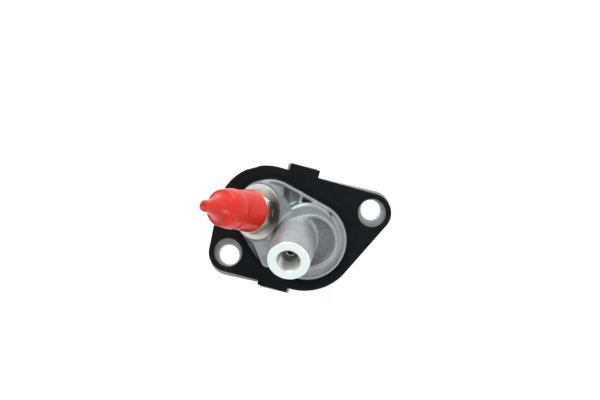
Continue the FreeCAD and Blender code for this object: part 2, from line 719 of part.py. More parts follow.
def boot_crest(fold, folds):
    """Crest radius of one fold: the folds get smaller towards the rod."""
    share = fold / (folds - 1)
    return "(size.boot_crest_rad * %g + size.boot_small_crest_rad * %g)" % (1 - share, share)


def make_boot():
    folds = int(value("boot_folds"))
    cuff_low = "(-size.barrel_long)"
    cuff_tall = "(size.boot_groove_lip + size.boot_groove_wide - 0.1)"
    ring_tall = "(size.rod_groove_top - size.rod_groove_low - 0.2)"
    ring_low = "(size.rod_groove_low + 0.1)"
    fold_run = "((%s - 1.2 - %s - %s) / %d)" % (cuff_low, ring_low, ring_tall, folds)
    outers = [
        cylinder("boot_cuff", "size.boot_cuff_rad", cuff_tall, z=cuff_low),
        cone("boot_shoulder", "size.boot_crest_rad", "size.boot_cuff_rad", "1.2", z=cuff_low + " - 1.2"),
        cylinder("boot_ring", "size.boot_ring_rad", ring_tall, z=ring_low),
    ]
    inners = [
        cylinder("boot_lip_hole", "size.lip_rad + size.fit_gap", "size.boot_groove_lip + 0.05", z=cuff_low + " - 0.05"),
        cylinder("boot_groove_hole", "size.boot_groove_rad + size.fit_gap", cuff_tall + " + 1", z=cuff_low),
        cylinder("boot_shoulder_hole", "size.boot_crest_rad - size.boot_wall", "1.3", z=cuff_low + " - 1.25"),
        cylinder("boot_ring_hole", "size.rod_groove_rad + size.fit_gap", "60", z="-100"),
    ]
    for fold in range(folds):
        high = "(%s - 1.2 - %d * %s)" % (cuff_low, fold, fold_run)
        valley = "(%s - %s)" % (high, fold_run)
        middle = "(%s - %s / 2)" % (high, fold_run)
        crest = boot_crest(fold, folds)
        root = "(%s - 2.4)" % crest
        start = "(%s)" % crest if fold == 0 else "(%s - 2.4)" % boot_crest(fold - 1, folds)
        for skin, group in (("0", outers), ("size.boot_wall", inners)):
            shape_name = "boot_fold_%d_%s" % (fold, "out" if skin == "0" else "in")
            group.append(cone(shape_name + "_upper", "%s - %s" % (crest, skin), "%s - %s" % (start, skin),
                              fold_run + " / 2", z=middle))
            group.append(cone(shape_name + "_lower", "%s - %s" % (root, skin), "%s - %s" % (crest, skin),
                              fold_run + " / 2", z=valley))
    boot = cut("boot", fuse("boot_outer", *outers), *inners)
    return named(on_bore(boot), "dust_boot")


def make_clamp():
    low = "-size.barrel_long + size.boot_groove_lip + size.boot_groove_wide / 2 - size.clamp_wide / 2"
    ring = tube("clamp", "size.clamp_rad", "size.boot_cuff_rad + 0.02", "size.clamp_wide", z=low)
    return named(on_bore(ring), "boot_clamp")


make_housing()
make_barrel()
make_plate()
make_port_seat()
make_adaptor()
make_bleed_screw()
make_screw_ring()
make_cap()
make_piston()
piston_ring("cup_ring", "primary_cup", "size.cup_core_rad", "size.cup_low", "size.cup_long")
piston_ring("guide", "guide_ring", "size.guide_core_rad", "size.guide_low", "size.guide_long")
piston_ring("rear_ring", "secondary_seal", "size.rear_core_rad", "size.rear_low", "size.rear_long")
make_spring_seat()
make_spring()
make_retainer()
make_pushrod()
make_rod_tip()
make_washer()
make_circlip()
make_boot()
make_clamp()
doc.recompute()

# ---------------------------------------------------------------- checks, then one file per part
for obj in doc.Objects:
    if "Invalid" in obj.State or "Error" in obj.State:
        raise RuntimeError("%s failed: %s" % (obj.Name, obj.State))
for part in parts:
    shape = part.Shape
    if shape.isNull() or not shape.isValid():
        raise RuntimeError("%s has no valid shape" % part.Label)
    if len(shape.Solids) != 1:
        raise RuntimeError("%s has %d solids" % (part.Label, len(shape.Solids)))

os.makedirs("parts", exist_ok=True)
for part in parts:
    part.Shape.exportStep("parts/%s.step" % part.Label)
    print("%-20s %10.1f mm3" % (part.Label, part.Shape.Volume))
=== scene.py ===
import json
import math

import bpy
import numpy as np
from mathutils import Matrix, Vector


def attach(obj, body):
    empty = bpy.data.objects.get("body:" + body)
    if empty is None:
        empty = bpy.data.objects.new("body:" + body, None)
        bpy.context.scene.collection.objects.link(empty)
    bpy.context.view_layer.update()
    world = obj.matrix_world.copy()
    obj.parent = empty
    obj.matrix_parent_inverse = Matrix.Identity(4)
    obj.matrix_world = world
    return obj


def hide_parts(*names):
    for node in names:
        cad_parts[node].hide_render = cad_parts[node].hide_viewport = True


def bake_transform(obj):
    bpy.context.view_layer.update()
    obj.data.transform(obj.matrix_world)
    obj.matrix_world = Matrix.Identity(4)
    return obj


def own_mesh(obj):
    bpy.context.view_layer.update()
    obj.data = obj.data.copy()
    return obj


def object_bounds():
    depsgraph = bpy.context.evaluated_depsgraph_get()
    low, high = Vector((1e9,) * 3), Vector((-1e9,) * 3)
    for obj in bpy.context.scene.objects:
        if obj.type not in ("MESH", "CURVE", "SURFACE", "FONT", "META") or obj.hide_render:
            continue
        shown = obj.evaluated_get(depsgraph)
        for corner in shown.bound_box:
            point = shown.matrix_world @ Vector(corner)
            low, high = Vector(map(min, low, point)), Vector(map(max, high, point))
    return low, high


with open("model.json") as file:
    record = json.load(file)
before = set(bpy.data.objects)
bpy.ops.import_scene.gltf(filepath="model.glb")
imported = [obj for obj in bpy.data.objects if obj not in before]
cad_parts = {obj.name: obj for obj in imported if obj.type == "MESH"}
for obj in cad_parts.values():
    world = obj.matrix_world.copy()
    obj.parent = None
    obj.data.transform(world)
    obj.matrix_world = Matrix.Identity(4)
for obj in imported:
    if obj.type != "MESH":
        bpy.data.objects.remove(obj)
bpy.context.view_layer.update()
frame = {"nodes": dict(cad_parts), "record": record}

# Shapes are given in mm and degrees in the part's own frame, and MM turns mm into metres.
MM = 0.001
BOLT_X, BOLT_RAD = 33.0, 4.5
FLANGE_TOP = 7.0
BORE_X, BORE_Y, BORE_RAD = 3.4, -4.4, 9.525
TOWER_TOP = 27.0
BLEED_X, BLEED_Y, BLEED_Z, BLEED_AZIMUTH = -14.8, 14.6, 24.0, 154.7


def axis_place(x, y, z, azimuth, tilt):
    """Local +Z leans by tilt towards azimuth, with the origin at a point given in mm."""
    a = math.radians(azimuth)
    turn = Matrix.Rotation(math.radians(tilt), 4, Vector((-math.sin(a), math.cos(a), 0)))
    return Matrix.Translation(Vector((x, y, z)) * MM) @ turn


PORT = axis_place(-7.78, -8.8, 41.0, 238.8, 28.3)
BLEED = axis_place(BLEED_X, BLEED_Y, BLEED_Z, BLEED_AZIMUTH, 34.0)
BORE = axis_place(BORE_X, BORE_Y, 0.0, 0.0, 0.0)
# The photo's up and right, level on the flange.
UP_PICTURE = Vector((0.3022, 0.9532, 0))
RIGHT_PICTURE = Vector((0.9532, -0.3022, 0))
# The side of the bleeder's spot face that is painted darker, as painted shade and painted reflection, towards
# the camera's right, in the spot face's own axes.
PAINTED_SHADE_SIDE = BLEED.to_3x3().inverted() @ Vector((0.94, -0.34, 0.0))
PAINTED_SHADE_SIDE = Vector((PAINTED_SHADE_SIDE.x, PAINTED_SHADE_SIDE.y, 0)).normalized()


# ---------------------------------------------------------------- materials
class Look:
    """One node-based material, built a layer at a time on object coordinates."""

    def __init__(self, name, rough=0.5, metal=0.0, specular=0.5):
        self.mat = bpy.data.materials.new(name)
        self.mat.use_nodes = True
        self.nodes = self.mat.node_tree.nodes
        self.link = self.mat.node_tree.links.new
        self.shader = self.nodes["Principled BSDF"]
        self.coords = self.nodes.new("ShaderNodeTexCoord").outputs["Object"]
        for socket, number in (("Roughness", rough), ("Metallic", metal), ("Specular IOR Level", specular)):
            self.shader.inputs[socket].default_value = number

    def noise(self, scale, detail=4.0, rough=0.55, along=None):
        node = self.nodes.new("ShaderNodeTexNoise")
        node.inputs["Scale"].default_value = scale
        node.inputs["Detail"].default_value = detail
        node.inputs["Roughness"].default_value = rough
        self.link(along or self.coords, node.inputs["Vector"])
        return node.outputs["Fac"]

    def cells(self, scale):
        """Round specks: 0 at the middle of each cell."""
        node = self.nodes.new("ShaderNodeTexVoronoi")
        node.inputs["Scale"].default_value = scale
        self.link(self.coords, node.inputs["Vector"])
        return node.outputs["Distance"]

    def stretched(self, x, y, z):
        node = self.nodes.new("ShaderNodeMapping")
        node.inputs["Scale"].default_value = (x, y, z)
        self.link(self.coords, node.inputs["Vector"])
        return node.outputs["Vector"]

    def rings(self, scale):
        """Fine turning marks round the local Z axis."""
        flat = self.nodes.new("ShaderNodeVectorMath")
        flat.operation = "MULTIPLY"
        flat.inputs[1].default_value = (1, 1, 0)
        self.link(self.coords, flat.inputs[0])
        length = self.nodes.new("ShaderNodeVectorMath")
        length.operation = "LENGTH"
        self.link(flat.outputs["Vector"], length.inputs[0])
        node = self.nodes.new("ShaderNodeTexNoise")
        node.noise_dimensions = "1D"
        node.inputs["Scale"].default_value = scale
        node.inputs["Detail"].default_value = 3.0
        self.link(length.outputs["Value"], node.inputs["W"])
        return node.outputs["Fac"]

    def range(self, source, low, high, out_low, out_high):
        """The source's low to high, stretched to out_low to out_high and held there beyond."""
        node = self.nodes.new("ShaderNodeMapRange")
        for i, number in enumerate((low, high, out_low, out_high), start=1):
            node.inputs[i].default_value = number
        self.link(source, node.inputs[0])
        return node.outputs[0]

    def blend(self, factor, first, second, mode="MIX"):
        node = self.nodes.new("ShaderNodeMix")
        node.data_type = "RGBA"
        node.blend_type = mode
        for socket, thing in (("Factor", factor), ("A", first), ("B", second)):
            kind = "VALUE" if socket == "Factor" else "RGBA"
            target = next(s for s in node.inputs if s.name == socket and s.type == kind)
            if isinstance(thing, (tuple, float)):
                target.default_value = (*thing, 1) if isinstance(thing, tuple) else thing
            else:
                self.link(thing, target)
        return next(s for s in node.outputs if s.type == "RGBA")

    def colour(self, source):
        self.link(source, self.shader.inputs["Base Color"])

    def roughness(self, source):
        self.link(source, self.shader.inputs["Roughness"])

    def bump(self, source, depth_mm, strength=1.0):
        node = self.nodes.new("ShaderNodeBump")
        node.inputs["Strength"].default_value = strength
        node.inputs["Distance"].default_value = depth_mm * MM
        self.link(source, node.inputs["Height"])
        normal = self.shader.inputs["Normal"]
        if normal.is_linked:
            self.link(normal.links[0].from_socket, node.inputs["Normal"])
        self.link(node.outputs["Normal"], normal)

    def zone(self, name):
        """A value that the mesh carries at its points."""
        node = self.nodes.new("ShaderNodeAttribute")
        node.attribute_name = name
        return node.outputs["Fac"]


def cast_look():
    """Blasted die-cast skin. Where the zone value is 1 it is pitted and rougher as cast, and darker, partly as
    painted shade in the recesses.
    """
    look = Look("cast_aluminium", rough=0.42, metal=0.4)
    cast_and_shade = look.zone("cast_and_shade")
    broad = look.range(look.noise(170, 3), 0.35, 0.65, 0, 1)
    skin = look.blend(broad, (0.285, 0.305, 0.309), (0.335, 0.36, 0.366))
    fine = look.range(look.noise(1500, 5, 0.65), 0.3, 0.7, 0, 1)
    skin = look.blend(look.range(fine, 0, 1, 0.0, 0.3), skin, (0.195, 0.19, 0.197))
    # The recesses' dark colour: rough cast grit, and painted shade where the pockets, the dish and the foot's
    # hollow lie in shadow.
    raw_and_shade = look.blend(fine, (0.085, 0.090, 0.094), (0.19, 0.205, 0.21))
    pits = look.range(look.cells(520), 0.08, 0.3, 1, 0)
    raw_and_shade = look.blend(look.range(pits, 0, 1, 0, 0.85), raw_and_shade, (0.035, 0.035, 0.04))
    look.colour(look.blend(cast_and_shade, skin, raw_and_shade))
    look.roughness(look.range(cast_and_shade, 0, 1, 0.36, 0.62))
    look.bump(look.noise(420, 4), 0.05, 0.5)
    look.bump(look.noise(2200, 4, 0.6), 0.03, 0.6)
    look.bump(look.blend(cast_and_shade, (0.5, 0.5, 0.5), fine), 0.12, 0.9)
    return look.mat


def machined_look(name, colour, rough, marks=9000, patch=0.12, painted_shade=None, painted_shade_side=None):
    """Fine turned marks; the optional dark colour is painted on the sector that faces the given side, in the
    piece's own axes, as painted shade and painted reflection.
    """
    look = Look(name, rough=rough, metal=1.0)
    stain = look.range(look.noise(260, 4), 0.35, 0.7, 0, patch)
    darker = tuple(0.62 * c for c in colour)
    skin = look.blend(stain, colour, darker)
    if painted_shade:
        unit = look.nodes.new("ShaderNodeVectorMath")
        unit.operation = "NORMALIZE"
        look.link(look.coords, unit.inputs[0])
        facing = look.nodes.new("ShaderNodeVectorMath")
        facing.operation = "DOT_PRODUCT"
        facing.inputs[1].default_value = painted_shade_side
        look.link(unit.outputs["Vector"], facing.inputs[0])
        # Painted shade and painted reflection: the sector towards the given side is blended to the dark colour.
        painted_shade_sector = look.range(facing.outputs["Value"], 0.45, 0.95, 0, 1)
        skin = look.blend(painted_shade_sector, skin, painted_shade)
    look.colour(skin)
    rings = look.rings(marks)
    look.roughness(look.range(rings, 0.3, 0.7, rough * 0.85, rough * 1.2))
    look.bump(rings, 0.012, 0.5)
    look.bump(look.noise(1800, 3), 0.006, 0.5)
    return look.mat


def steel_look(name, colour, rough, tint=(0.26, 0.27, 0.25)):
    look = Look(name, rough=rough, metal=1.0)
    cloud = look.range(look.noise(350, 5), 0.35, 0.7, 0, 0.45)
    look.colour(look.blend(cloud, colour, tint))
    look.roughness(look.range(look.noise(900, 4), 0.3, 0.7, rough * 0.8, rough * 1.25))
    look.bump(look.noise(3000, 3, along=look.stretched(1, 1, 0.2)), 0.008, 0.5)
    return look.mat


def rubber_look(name, colour, shade, rough, specular=0.5):
    look = Look(name, rough=rough, specular=specular)
    mottle = look.range(look.noise(300, 5), 0.3, 0.7, 0, 1)
    look.colour(look.blend(mottle, colour, shade))
    look.roughness(look.range(look.noise(1300, 4), 0.3, 0.7, rough * 0.88, rough * 1.15))
    look.bump(look.noise(2400, 4), 0.004, 0.4)
    return look.mat


def plate_look():
    look = Look("black_plate", rough=0.5, specular=0.1)
    mottle = look.range(look.noise(240, 5), 0.3, 0.7, 0, 1)
    look.colour(look.blend(mottle, (0.0030, 0.0034, 0.0040), (0.0055, 0.0060, 0.0066)))
    specks = look.range(look.cells(95), 0.02, 0.045, 0.35, 0)
    look.roughness(look.range(look.noise(1600, 4), 0.3, 0.7, 0.42, 0.58))
    look.bump(look.noise(2600, 3), 0.01, 0.5)
    look.bump(specks, 0.01, 0.4)
    return look.mat


def plastic_look(name, colour, shade, rough):
    look = Look(name, rough=rough, specular=0.4)
    mottle = look.range(look.noise(420, 4), 0.3, 0.7, 0, 1)
    look.colour(look.blend(mottle, colour, shade))
    look.bump(look.noise(1500, 3), 0.01, 0.4)
    return look.mat


MATS = {
    "cast_aluminium": cast_look(),
    "port_face": machined_look("port_face", (0.83, 0.93, 0.915), 0.36),
    "port_thread": machined_look("port_thread", (0.54, 0.56, 0.52), 0.42, 3000, 0.5),
    # The spot face's dark sector on one side is painted shade and painted reflection of the parts beside it.
    "spot_face": machined_look("spot_face", (0.56, 0.55, 0.50), 0.42,
                               painted_shade=(0.10, 0.078, 0.072), painted_shade_side=PAINTED_SHADE_SIDE),
    "turned_aluminium": machined_look("turned_aluminium", (0.42, 0.43, 0.43), 0.33),
    "black_plate": plate_look(),
    "seat_steel": machined_look("seat_steel", (0.40, 0.39, 0.36), 0.3, 5000),
    "zinc_steel": steel_look("zinc_steel", (0.33, 0.39, 0.34), 0.34),
    "red_rubber": rubber_look("red_rubber", (0.56, 0.012, 0.002), (0.49, 0.009, 0.0015), 0.22, specular=0.4),
    "black_rubber": rubber_look("black_rubber", (0.018, 0.018, 0.019), (0.032, 0.032, 0.033), 0.55),
    "piston_aluminium": steel_look("piston_aluminium", (0.55, 0.53, 0.47), 0.3, (0.4, 0.37, 0.3)),
    "ptfe": plastic_look("ptfe", (0.74, 0.72, 0.64), (0.66, 0.63, 0.55), 0.45),
    "nylon": plastic_look("nylon", (0.70, 0.66, 0.52), (0.62, 0.57, 0.44), 0.4),
    "spring_steel": steel_look("spring_steel", (0.36, 0.37, 0.40), 0.28, (0.2, 0.2, 0.22)),
    "rod_steel": steel_look("rod_steel", (0.50, 0.51, 0.53), 0.26, (0.36, 0.35, 0.33)),
}
for sub in frame["record"]["subparts"]:
    node = frame["nodes"][sub["node"]]
    node.data.materials.clear()
    node.data.materials.append(MATS[sub["material_slot"]])


# ---------------------------------------------------------------- meshes
def add_piece(name, verts_mm, faces, material, body, slot, place=None, replaces=(), crease=30, ride=True):
    mesh = bpy.data.meshes.new(name)
    mesh.from_pydata((np.asarray(verts_mm) * MM).tolist(), [], faces)
    mesh.materials.append(MATS[material])
    mesh.polygons.foreach_set("use_smooth", [True] * len(mesh.polygons))
    mesh.set_sharp_from_angle(angle=math.radians(crease))
    mesh.update()
    piece = bpy.data.objects.new(name, mesh)
    bpy.context.scene.collection.objects.link(piece)
    if place is not None:
        piece.matrix_world = place
    if ride:
        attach(piece, body)
    if replaces:
        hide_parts(*replaces)
    return piece


def softened(points, steps=5):
    """Rounds a section's marked corners: each point is (r, z), or (r, z, length taken from both sides)."""
    out = []
    count = len(points)
    for i, point in enumerate(points):
        here = np.array(point[:2], float)
        take = point[2] if len(point) > 2 else 0.0
        if take <= 0:
            out.append(here)
            continue
        before = np.array(points[i - 1][:2], float) - here
        after = np.array(points[(i + 1) % count][:2], float) - here
        start = here + before / np.linalg.norm(before) * min(take, 0.49 * np.linalg.norm(before))
        end = here + after / np.linalg.norm(after) * min(take, 0.49 * np.linalg.norm(after))
        for s in np.linspace(0, 1, steps):
            out.append((1 - s) ** 2 * start + 2 * s * (1 - s) * here + s ** 2 * end)
    return np.array(out)


def turned(name, points, material, body, slot, place=BORE, steps=96, closed=True, shape=None, **more):
    """A turned solid. A closed section makes a ring; an open one has its two ends closed by flat discs."""
    section = softened(points)
    theta = np.arange(steps) * 2 * math.pi / steps
    r = np.repeat(section[:, :1], steps, axis=1)
    z = np.repeat(section[:, 1:], steps, axis=1)
    if shape is not None:
        r, z = shape(r, z, theta[None, :])
    verts = np.stack([r * np.cos(theta), r * np.sin(theta), z], axis=2).reshape(-1, 3)
    faces = []
    rows = len(section)
    for i in range(rows if closed else rows - 1):
        nxt = (i + 1) % rows
        for j in range(steps):
            k = (j + 1) % steps
            faces.append((i * steps + j, nxt * steps + j, nxt * steps + k, i * steps + k))
    if not closed:
        faces.append(tuple(range(steps)))
        faces.append(tuple((rows - 1) * steps + j for j in reversed(range(steps))))
    following = np.roll(section, -1, axis=0)
    twice_area = float(np.sum(section[:, 0] * following[:, 1] - following[:, 0] * section[:, 1]))
    if twice_area > 0:
        faces = [tuple(reversed(face)) for face in faces]
    return add_piece(name, verts, faces, material, body, slot, place, **more)


# ---------------------------------------------------------------- distance fields
def smooth_union(a, b, k):
    """Both solids, with a fillet where their distances differ by less than k."""
    h = np.maximum(k - np.abs(a - b), 0) / k
    return np.minimum(a, b) - h * h * k / 4


def smooth_cut(a, b, k):
    """a less b, with the edge eased by k."""
    return -smooth_union(-a, b, k)


def smooth_step(t):
    """0 up to t = 0, 1 from t = 1, and an even curve between them."""
    t = np.clip(t, 0, 1)
    return t * t * (3 - 2 * t)


def fade(amount, width):
    return np.clip(amount / width, 0, 1)


def swept_circle(x, y, a, b):
    """Distance to the outline round two circles, each (x, y, r)."""
    length = math.hypot(b[0] - a[0], b[1] - a[1])
    ux, uy = (b[0] - a[0]) / length, (b[1] - a[1]) / length
    across = np.abs((x - a[0]) * uy - (y - a[1]) * ux)
    along = (x - a[0]) * ux + (y - a[1]) * uy
    lean = (a[2] - b[2]) / length
    flat = math.sqrt(1 - lean * lean)
    k = -lean * across + flat * along
    start = np.hypot(across, along) - a[2]
    end = np.hypot(across, along - length) - b[2]
    return np.where(k < 0, start, np.where(k > flat * length, end, across * flat + along * lean - a[2]))


def outline(x, y, circles):
    """Distance to a closed chain of circles, each joined to the next by its tangents."""
    result = swept_circle(x, y, circles[-1], circles[0])
    for a, b in zip(circles, circles[1:]):
        result = np.minimum(result, swept_circle(x, y, a, b))
    return result


def layer(flat, z, low, high, ease=0.0):
    """A flat outline given height, with its edges eased."""
    side = flat + ease
    cap = np.maximum(low + ease - z, z - high + ease)
    return np.minimum(np.maximum(side, cap), 0) + np.hypot(np.maximum(side, 0), np.maximum(cap, 0)) - ease


def turned_box(x, y, cx, cy, azimuth, half_long, half_wide):
    """Distance to a rectangle whose long side points to azimuth."""
    c, s = math.cos(math.radians(azimuth)), math.sin(math.radians(azimuth))
    u = (x - cx) * c + (y - cy) * s
    v = (y - cy) * c - (x - cx) * s
    du, dv = np.abs(u) - half_long, np.abs(v) - half_wide
    return np.minimum(np.maximum(du, dv), 0) + np.hypot(np.maximum(du, 0), np.maximum(dv, 0))


def about(place, x, y, z):
    """Distance along a place's Z axis, and out from it."""
    origin = place.to_translation() / MM
    way = place.to_3x3() @ Vector((0, 0, 1))
    dx, dy, dz = x - origin[0], y - origin[1], z - origin[2]
    along = dx * way[0] + dy * way[1] + dz * way[2]
    out = np.sqrt(np.maximum(dx * dx + dy * dy + dz * dz - along * along, 0))
    return along, out


def grid(low, high, voxel):
    axes = [np.arange(a, b + voxel, voxel, dtype=np.float32) for a, b in zip(low, high)]
    return axes[0][:, None, None], axes[1][None, :, None], axes[2][None, None, :]


def at_points(field, places):
    """Trilinear samples of a field at fractional grid places."""
    top = np.array(field.shape) - 1.001
    places = np.clip(places, 0, top)
    cell = places.astype(int)
    f = places - cell
    total = 0
    for dx in (0, 1):
        for dy in (0, 1):
            for dz in (0, 1):
                weight = (f[:, 0] if dx else 1 - f[:, 0]) * (f[:, 1] if dy else 1 - f[:, 1])
                weight = weight * (f[:, 2] if dz else 1 - f[:, 2])
                total = total + weight * field[cell[:, 0] + dx, cell[:, 1] + dy, cell[:, 2] + dz]
    return total


def skin_mesh(field, low, voxel):
    """The zero level of a distance field as quads, one vertex in each cell that the surface crosses."""
    inside = field < 0
    nx, ny, nz = (n - 1 for n in field.shape)
    corners = [(i, j, k) for i in (0, 1) for j in (0, 1) for k in (0, 1)]
    held = sum(inside[i:i + nx, j:j + ny, k:k + nz].astype(np.int8) for i, j, k in corners)
    active = (held > 0) & (held < 8)
    cells = np.argwhere(active)
    total = np.zeros((len(cells), 3))
    count = np.zeros(len(cells))
    for a in corners:
        for axis in range(3):
            if a[axis]:
                continue
            b = tuple(1 if d == axis else a[d] for d in range(3))
            fa = field[tuple((cells + a).T)]
            fb = field[tuple((cells + b).T)]
            cross = (fa < 0) != (fb < 0)
            t = fa[cross] / (fa[cross] - fb[cross])
            point = np.array(a, float)[None, :] + t[:, None] * (np.array(b) - np.array(a))[None, :]
            total[cross] += point
            count[cross] += 1
    places = cells + total / count[:, None]
    step = 0.35
    for _ in range(3):
        slope = np.stack([at_points(field, places + e) - at_points(field, places - e)
                          for e in step * np.eye(3)], axis=1)
        slope /= np.maximum((slope ** 2).sum(1, keepdims=True), 1e-9) / (2 * step)
        move = slope * at_points(field, places)[:, None]
        places -= np.clip(0.7 * move, -0.3, 0.3)
    places = np.clip(places, cells + 0.02, cells + 0.98)
    number = np.full(active.shape, -1)
    number[active] = np.arange(len(cells))
    quads = []
    for axis in range(3):
        u, v = [d for d in range(3) if d != axis]
        first = np.take(inside, range(field.shape[axis] - 1), axis)
        second = np.take(inside, range(1, field.shape[axis]), axis)
        edges = np.argwhere(first != second)
        for side in (u, v):
            edges = edges[(edges[:, side] > 0) & (edges[:, side] < field.shape[side] - 1)]
        back_u, back_v = np.zeros(3, int), np.zeros(3, int)
        back_u[u], back_v[v] = 1, 1
        around = [edges - back_u - back_v, edges - back_v, edges, edges - back_u]
        quad = np.stack([number[tuple(a.T)] for a in around], axis=1)
        solid_first = first[tuple(edges.T)]
        flip = solid_first if axis == 1 else ~solid_first
        quad[flip] = quad[flip][:, ::-1]
        quads.append(quad)
    verts = np.array(low) + voxel * places
    return verts, np.concatenate(quads)


# ---------------------------------------------------------------- the casting
# Each circle is (x, y, r).
PLATE_CIRCLES = [(33.0, 0.0, 8.5), (-12.3, 11.6, 21.8), (-33.0, 0.0, 8.5), (1.6, -2.4, 23.7)]
METAL_CIRCLES = [(33.05, 0.15, 8.6), (-12.3, 11.6, 21.8), (-33.1, -0.45, 8.65), (1.3, -2.8, 23.8)]
OPENING_CIRCLES = [(2.16, -4.02, 18.0), (-10.47, 11.79, 15.7), (-12.43, -1.99, 9.8)]
RIM_CIRCLES = [(2.0, -4.1, 17.4), (-10.0, 12.2, 15.0)]
FOOT_CIRCLES = [(0.0, -5.1, 12.0), (-12.2, 2.6, 8.9), (-17.4, -7.5, 2.8)]
TOWER_CIRCLE = (BORE_X, BORE_Y, 12.0)
LUG_BAR_TURN, LUG_BAR_HALF_WIDE, LUG_BAR_HALF_LONG = math.radians(31), 6.65, 27.9
BASE = 0.5
RIM_TOP, RIM_WALL, POCKET_FLOOR = 11.0, 1.7, 5.8
FOOT_FLOOR = 10.0
DISH_RAD, DISH_FLOOR = 10.3, 24.7


def flange_outline(x, y, circles, lug_spare=0.0):
    """Two ears and two large circles, with a bar across them whose ends are the lugs."""
    sides = np.minimum(outline(x, y, circles), swept_circle(x, y, circles[1], circles[3]))
    c, s = math.cos(LUG_BAR_TURN), math.sin(LUG_BAR_TURN)
    across = x * c - y * s + 5.4
    along = x * s + y * c - 0.8
    bar = np.maximum(np.abs(across) - LUG_BAR_HALF_WIDE, np.abs(along) - LUG_BAR_HALF_LONG - lug_spare)
    return np.minimum(sides, bar)


def from_bore(x, y):
    return np.hypot(x - BORE_X, y - BORE_Y)


def pocket_field(x, y, z, main_hull):
    """The room inside the rim. Its floor climbs towards the picture's left and beside the tower."""
    right = x * RIGHT_PICTURE[0] + y * RIGHT_PICTURE[1]
    ramp = 3.9 * smooth_step((-4.4 - right) / 3.4) + 0.1 * np.maximum(-7.0 - right, 0)
    beside_tower = np.maximum(smooth_step((x - 6.0) / 4.0), smooth_step((-3.0 - y) / 4.0))
    shallow = 5.0 * smooth_step((9.5 - y) / 9.0) * beside_tower
    floor = POCKET_FLOOR + ramp + shallow
    return np.maximum(main_hull + RIM_WALL, floor - z)


def flange_field(x, y, z, main_hull, foot_hull, rim_hull):
    """The flange with the rim wall, the pocket inside it, the hollowed foot and the saddle between them."""
    flange = layer(flange_outline(x, y, METAL_CIRCLES, 0.45), z, 0.0, FLANGE_TOP, 0.4)
    rim = layer(rim_hull, z, BASE, RIM_TOP, 0.75)
    body = smooth_cut(smooth_union(flange, rim, 0.8), pocket_field(x, y, z, main_hull), 0.7)
    foot = layer(foot_hull + 0.3, z, BASE, RIM_TOP - 0.3, 0.8)
    valley = np.maximum(foot_hull + 3.2, FOOT_FLOOR - z)
    body = smooth_union(body, smooth_cut(foot, valley, 1.6), 1.2)
    saddle = layer(swept_circle(x, y, (-7.0, -0.5, 7.5), (-13.8, 1.5, 4.8)), z, BASE, 12.8, 1.6)
    return smooth_union(body, saddle, 4.0)


def leaning_post(x, y, z, low, high, slant, past_top=1.3):
    """A round post through two level circles, each (x, y, z, r); slant makes its distances about true."""
    rise = np.clip((z - low[2]) / (high[2] - low[2]), -1, past_top)
    dx = x - low[0] - (high[0] - low[0]) * rise
    dy = y - low[1] - (high[1] - low[1]) * rise
    return (np.hypot(dx, dy) - (low[3] + (high[3] - low[3]) * rise)) * slant


def tower_field(x, y, z):
    """The bore's closed end: a round tower with a leaning back and shoulder, and a dish in its top."""
    tower = leaning_post(x, y, z, (BORE_X, BORE_Y, 11.0, 11.9), (BORE_X, BORE_Y, 27.0, 11.48), 0.999)
    back = leaning_post(x, y, z, (3.2, -0.2, 11.5, 11.2), (3.4, -4.4, 26.6, 10.9), 0.95)
    shoulder = leaning_post(x, y, z, (-5.5, 3.4, 11.5, 7.7), (-3.0, -2.0, 26.0, 8.0), 0.93, past_top=1.2)
    side = smooth_union(smooth_union(tower, back, 1.5), shoulder, 3.0)
    closed_end = smooth_cut(side, TOWER_TOP - z, 1.1)
    dish = np.maximum(from_bore(x, y) - (DISH_RAD + 0.4 * (z - TOWER_TOP)), DISH_FLOOR - z)
    return np.maximum(smooth_cut(closed_end, dish, 1.1), BASE - z)


def bleed_column(x, y, z, rim_hull, along_bleed):
    """The oval column under the bleeder, wider at its foot, kept inside the rim and cut by the spot face."""
    c, s = math.cos(math.radians(BLEED_AZIMUTH)), math.sin(math.radians(BLEED_AZIMUTH))
    u = (x - BLEED_X) * c + (y - BLEED_Y) * s
    v = (y - BLEED_Y) * c - (x - BLEED_X) * s
    spread = np.clip((BLEED_Z - z) * 0.045, -0.5, 1.0)
    a, b = 9.85 + spread, 11.9 + spread
    k0 = np.hypot(u / a, v / b)
    k1 = np.maximum(np.hypot(u / (a * a), v / (b * b)), 1e-4)
    column = np.maximum(k0 * (k0 - 1) / k1, rim_hull + 0.05)
    return smooth_cut(np.maximum(column, BASE - z), -0.3 - along_bleed, 0.5)


def bleed_sleeve(along_bleed, out_bleed):
    """Metal all round the adaptor's bore, where the column alone is too thin."""
    return np.maximum(np.maximum(out_bleed - 8.1, along_bleed + 0.6), -14.8 - along_bleed)


def port_boss(x, y, along_port, out_port):
    """The boss on the port's axis, up to its face, trimmed on the side of the bleeder."""
    radius = np.interp(-along_port, (0, 8, 22), (8.78, 9.7, 8.9))
    boss = (out_port - radius) * 0.99
    boss = np.maximum(np.maximum(boss, along_port + 0.5), -24.0 - along_port)
    middle = (-1.2, -0.8, 8.7)
    kept = np.minimum(swept_circle(x, y, (BORE_X, BORE_Y, 11.3), middle),
                      swept_circle(x, y, middle, (-20.0, -25.0, 16.0)))
    return smooth_cut(boss, -kept, 1.6)


def drilled(body, x, y, z, port_axis, bleed_axis):
    """Cuts the port, the bleeder's bore, the main bore, the bolt holes and all below the flange's back face."""
    along_port, out_port = port_axis
    along_bleed, out_bleed = bleed_axis
    for radius, bottom in ((5.5, -8.2), (3.95, -9.6), (1.5, -27.0)):
        body = np.maximum(body, -np.maximum(out_port - radius, bottom - along_port))
    body = np.maximum(body, -np.maximum(out_bleed - 6.05, -13.0 - along_bleed))
    body = np.maximum(body, -np.maximum(from_bore(x, y) - BORE_RAD - 0.075, z - 20.0))
    for sign in (-1, 1):
        body = smooth_cut(body, np.hypot(x - sign * BOLT_X, y) - BOLT_RAD, 0.35)
    return np.maximum(body, -z)


